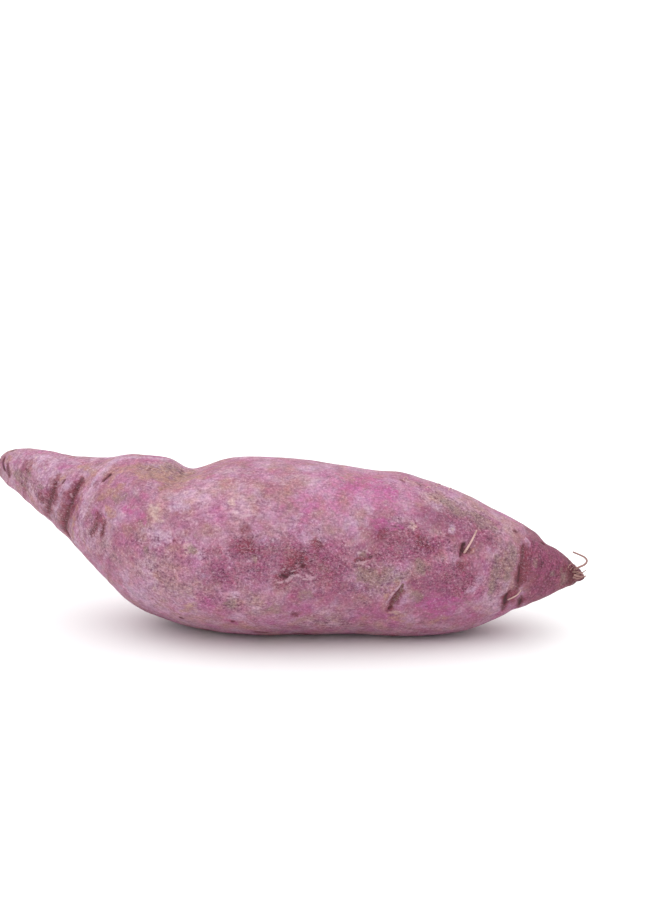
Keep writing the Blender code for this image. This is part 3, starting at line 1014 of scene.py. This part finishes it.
def by_the_tail(pixel, nearer_mm):
    """A point in the air beside the tail, where the camera sees the pixel."""
    way = sight_line(pixel)
    return CAMERA_PLACE + ((tail_heart - CAMERA_PLACE).dot(way) - nearer_mm * MM) * way


def rounded_path(points):
    """Evenly spaced points along a path, with its corners rounded off."""
    corners = np.array(points)
    passed = np.concatenate([[0], np.cumsum(np.linalg.norm(np.diff(corners, axis=0), axis=1))])
    count = max(4, round(passed[-1] / FIBRE_STEP))
    even = np.linspace(0, passed[-1], count + 1)
    path = np.stack([np.interp(even, passed, corners[:, axis]) for axis in range(3)], axis=1)
    for turn in range(count // 3):
        path[1:-1] = (path[:-2] + 2 * path[1:-1] + path[2:]) / 4
    return [Vector(point) for point in path]


def grow_fibre(points, thick_mm, thin_mm):
    """Adds a round fibre along the points, tapering to a closed end."""
    path = rounded_path(points)
    turned = (path[1] - path[0]).to_track_quat("Z", "Y")
    stance = Matrix.LocRotScale(path[0], turned, Vector((thick_mm, thick_mm, thick_mm)))
    ring = bmesh.ops.create_circle(
        fibres, cap_ends=True, segments=FIBRE_SIDES, radius=MM / 2, matrix=stance
    )
    face = ring["verts"][0].link_faces[0]
    for number in range(1, len(path)):
        way = path[min(number + 1, len(path) - 1)] - path[number - 1]
        turned = (turned @ Vector((0, 0, 1))).rotation_difference(way) @ turned
        size = thick_mm + (thin_mm - thick_mm) * number / (len(path) - 1)
        after = Matrix.LocRotScale(path[number], turned, Vector((size, size, size)))
        grown_part = bmesh.ops.extrude_face_region(fibres, geom=[face])["geom"]
        corners = [part for part in grown_part if isinstance(part, bmesh.types.BMVert)]
        face = [part for part in grown_part if isinstance(part, bmesh.types.BMFace)][0]
        bmesh.ops.transform(fibres, matrix=after @ stance.inverted(), verts=corners)
        stance = after


for thick, thin, points in (PIT_ROOTLET, CREASE_ROOTLET):
    grow_fibre([above_skin(*point) for point in points], thick, thin)
for thick, thin, points in TAIL_FIBRES:
    grow_fibre([by_the_tail(*point) for point in points], thick, thin)
for thick, thin, points in TOP_EDGE_ROOTLETS:
    grow_fibre([above_skin(*point) for point in points], thick, thin)

bmesh.ops.recalc_face_normals(fibres, faces=fibres.faces)
rootlets = bpy.data.objects.new("rootlets", bpy.data.meshes.new("rootlets"))
fibres.to_mesh(rootlets.data)
fibres.free()
rootlets.data.shade_smooth()
bpy.context.scene.collection.objects.link(rootlets)

RUST_SPOT = 3 * MM
RUST_STARTS, RUST_FULL = 8 * MM, 5 * MM  # before the tail's end
straw = bpy.data.materials.new("rootlets")
straw.use_nodes = True
tree = straw.node_tree
shader = tree.nodes["Principled BSDF"]
where = put(tree, "TexCoord", {}).outputs["Object"]
spots = rise(tree, cloud(tree, where, RUST_SPOT, 3, 0.6), 0.42, 0.62)
distance_along = put(tree, "SeparateXYZ", {"Vector": where}).outputs["X"]
by_tail = rise(tree, distance_along, high.x - RUST_STARTS, high.x - RUST_FULL)
stain = sums(tree, "MAXIMUM", times(tree, spots, 0.35), times(tree, by_tail, 0.65))
tree.links.new(over(tree, STRAW, RUST, stain), shader.inputs["Base Color"])
shader.inputs["Roughness"].default_value = 0.7
rootlets.data.materials.append(straw)
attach(rootlets, "root")

# The floor and the light
# A plain white floor without a seam, under a white room. One broad, soft lamp shines down from
# above, a little from the left.
FLOOR_SIZE = 40
FLOOR_WHITE = (0.94, 0.94, 0.94, 1)
ROOM_LIGHT = 0.72
LAMP_LIGHT = 2.4
LAMP_SPREAD = math.radians(125)
LAMP_FROM = Vector((-0.2, 0.05, 1.0))

floor_mesh = bmesh.new()
bmesh.ops.create_grid(floor_mesh, x_segments=1, y_segments=1, size=FLOOR_SIZE / 2)
floor = bpy.data.objects.new("floor", bpy.data.meshes.new("floor"))
floor_mesh.to_mesh(floor.data)
floor_mesh.free()
bpy.context.scene.collection.objects.link(floor)
paper = bpy.data.materials.new("floor")
paper.use_nodes = True
paper.node_tree.nodes["Principled BSDF"].inputs["Base Color"].default_value = FLOOR_WHITE
paper.node_tree.nodes["Principled BSDF"].inputs["Roughness"].default_value = 0.9
floor.data.materials.append(paper)

room = bpy.data.worlds.new("room")
room.use_nodes = True
room.node_tree.nodes["Background"].inputs["Color"].default_value = (1, 1, 1, 1)
room.node_tree.nodes["Background"].inputs["Strength"].default_value = ROOM_LIGHT
bpy.context.scene.world = room

lamp = bpy.data.objects.new("lamp", bpy.data.lights.new("lamp", "SUN"))
lamp.data.energy = LAMP_LIGHT
lamp.data.angle = LAMP_SPREAD
lamp.rotation_euler = LAMP_FROM.to_track_quat("Z", "Y").to_euler()
bpy.context.scene.collection.objects.link(lamp)
bpy.context.scene.view_settings.view_transform = "Standard"

bpy.context.view_layer.update()
